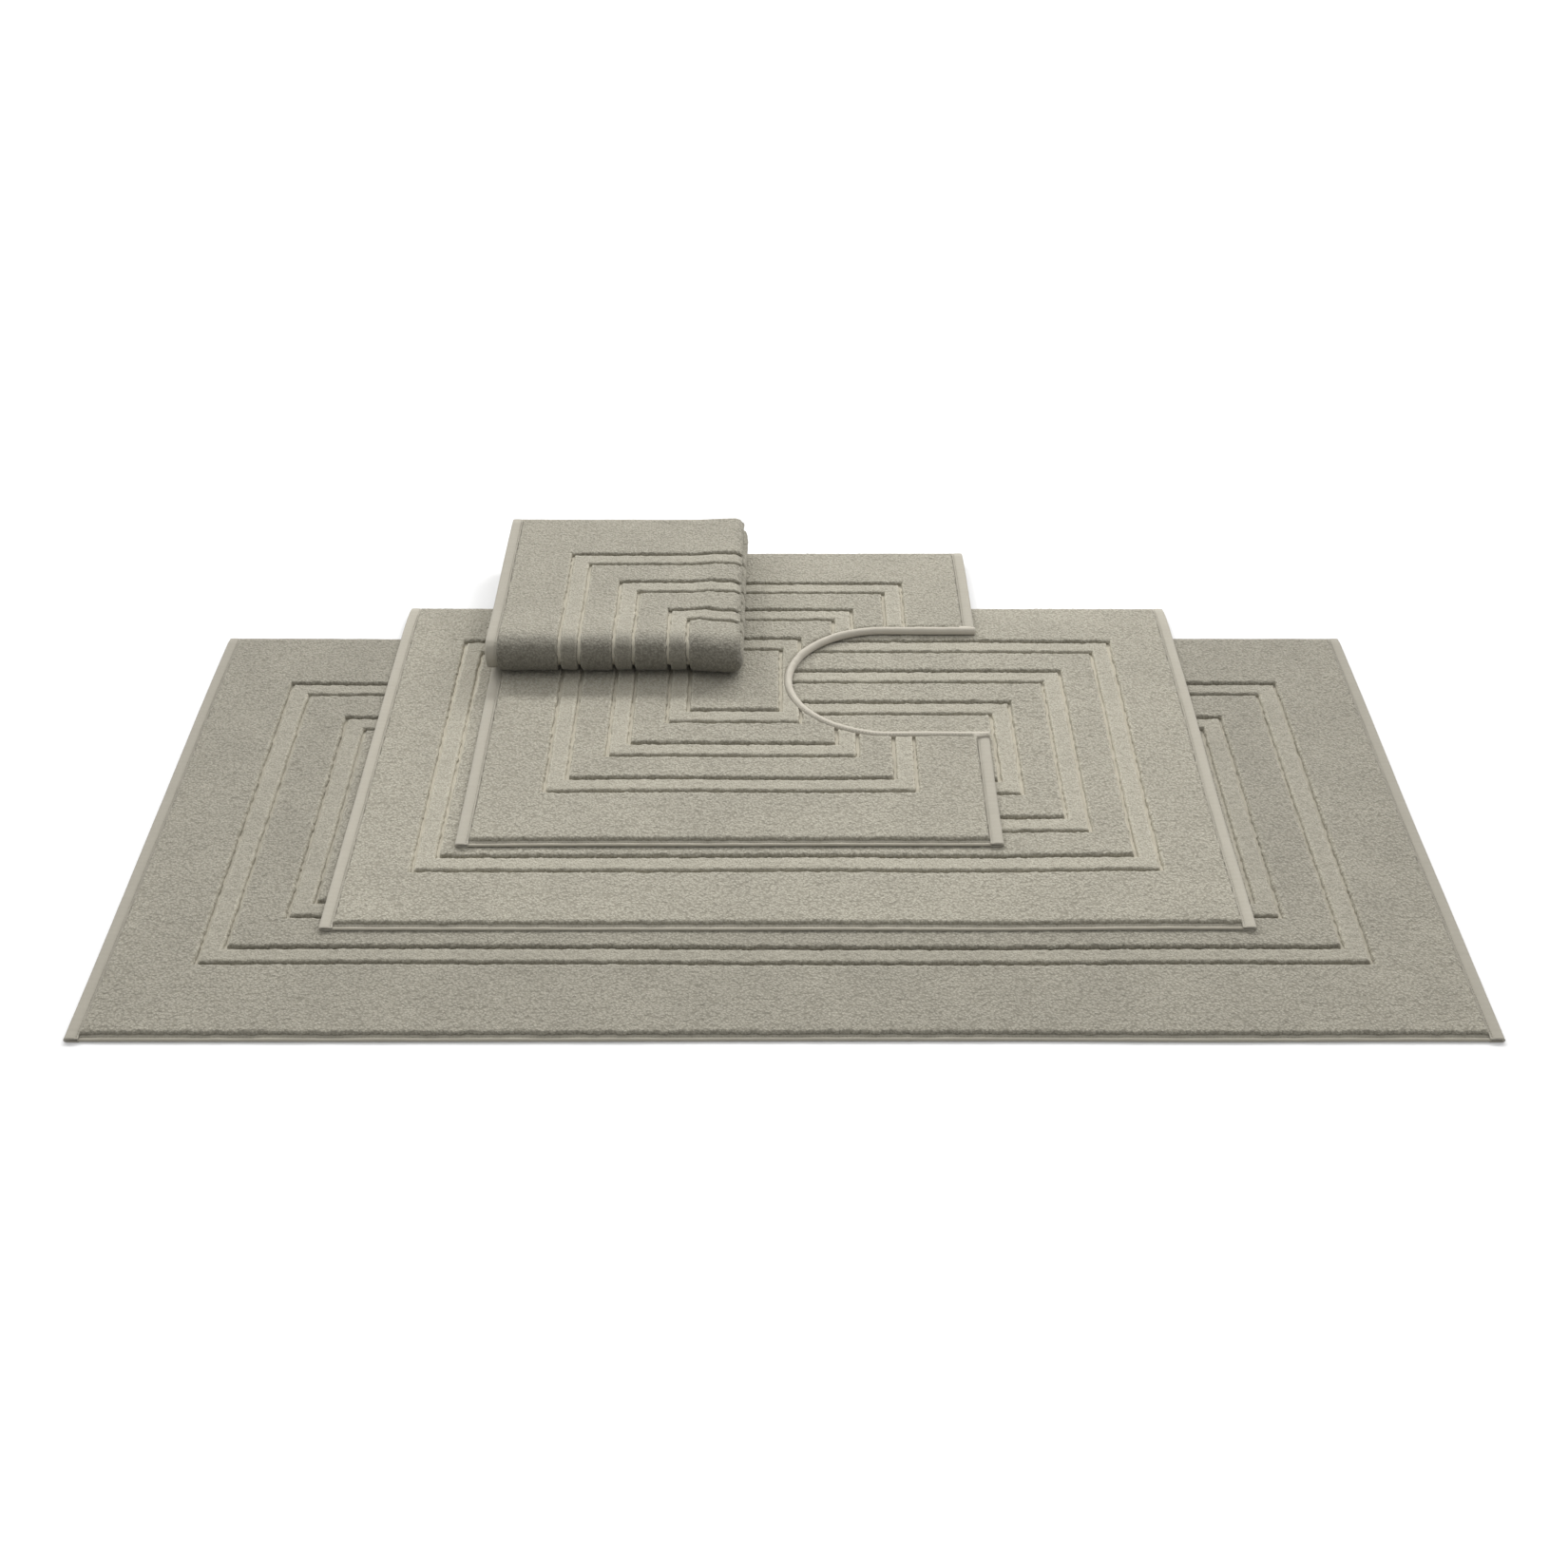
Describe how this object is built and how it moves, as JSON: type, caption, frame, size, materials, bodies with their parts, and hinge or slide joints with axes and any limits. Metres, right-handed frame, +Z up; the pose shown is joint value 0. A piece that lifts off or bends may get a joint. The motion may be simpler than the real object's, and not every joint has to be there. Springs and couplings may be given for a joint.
{
  "type": "bath mat set",
  "caption": "Stacked set of terry bath mats with framed relief bands: large, medium, pedestal mat with U cutout, and one folded in quarters that opens at its front turn.",
  "frame": {"origin": "centre of the large mat's underside, on the floor", "axes": "+X along the long sides of the mats, +Y towards their back edges, +Z up"},
  "size_m": [1.412, 0.902, 0.0747],
  "materials": {
    "terry_pile": "greige cotton terry loops, matt",
    "ground_weave": "greige flat-woven cotton, matt",
    "hem_cotton": "smooth close-woven cotton hem, matt",
    "binding_cotton": "smooth cotton bias tape, matt",
    "stitching_thread": "twisted cotton thread"
  },
  "bodies": {
    "large_mat": {"large_back_hem": "hem_cotton", "large_border_pile": "terry_pile", "large_centre_pile": "terry_pile", "large_front_hem": "hem_cotton", "large_ground_cloth": "ground_weave", "large_hem_stitches": "stitching_thread", "large_inner_band": "terry_pile", "large_inner_panel": "terry_pile", "large_left_hem": "hem_cotton", "large_middle_band": "terry_pile", "large_outer_band": "terry_pile", "large_outer_panel": "terry_pile", "large_right_hem": "hem_cotton"},
    "medium_mat": {"medium_back_hem": "hem_cotton", "medium_border_pile": "terry_pile", "medium_centre_pile": "terry_pile", "medium_front_hem": "hem_cotton", "medium_ground_cloth": "ground_weave", "medium_hem_stitches": "stitching_thread", "medium_inner_band": "terry_pile", "medium_inner_panel": "terry_pile", "medium_left_hem": "hem_cotton", "medium_middle_band": "terry_pile", "medium_outer_band": "terry_pile", "medium_outer_panel": "terry_pile", "medium_right_hem": "hem_cotton"},
    "pedestal_mat": {"pedestal_back_hem": "hem_cotton", "pedestal_binding_stitches": "stitching_thread", "pedestal_binding_tape": "binding_cotton", "pedestal_border_pile": "terry_pile", "pedestal_centre_pile": "terry_pile", "pedestal_front_hem": "hem_cotton", "pedestal_ground_cloth": "ground_weave", "pedestal_hem_stitches": "stitching_thread", "pedestal_inner_band": "terry_pile", "pedestal_inner_panel": "terry_pile", "pedestal_left_hem": "hem_cotton", "pedestal_middle_band": "terry_pile", "pedestal_outer_band": "terry_pile", "pedestal_outer_panel": "terry_pile", "pedestal_right_hem": "hem_cotton"},
    "folded_mat_lower": {"folded_lower_end_hems": "hem_cotton", "folded_lower_inner_leaf": "terry_pile", "folded_lower_inner_turn": "terry_pile", "folded_lower_outer_leaf": "terry_pile", "folded_lower_outer_turn": "terry_pile", "folded_lower_right_turn": "terry_pile", "folded_lower_side_hems": "hem_cotton"},
    "folded_mat_upper": {"folded_upper_end_hems": "hem_cotton", "folded_upper_inner_leaf": "terry_pile", "folded_upper_inner_turn": "terry_pile", "folded_upper_outer_leaf": "terry_pile", "folded_upper_outer_turn": "terry_pile", "folded_upper_right_turn": "terry_pile", "folded_upper_side_hems": "hem_cotton"}
  },
  "joints": [
    {"name": "medium_mat_lift", "type": "slide", "parent": "large_mat", "child": "medium_mat", "axis": [0, 0, 1], "range_m": [0, 0.25]},
    {"name": "pedestal_mat_lift", "type": "slide", "parent": "medium_mat", "child": "pedestal_mat", "axis": [0, 0, 1], "range_m": [0, 0.25]},
    {"name": "folded_mat_lift", "type": "slide", "parent": "pedestal_mat", "child": "folded_mat_lower", "axis": [0, 0, 1], "range_m": [0, 0.25]},
    {"name": "folded_mat_opening", "type": "hinge", "parent": "folded_mat_lower", "child": "folded_mat_upper", "pos_m": [-0.208, 0.23285, 0.0499], "axis": [1, 0, 0], "range_deg": [0, 180]}
  ]
}
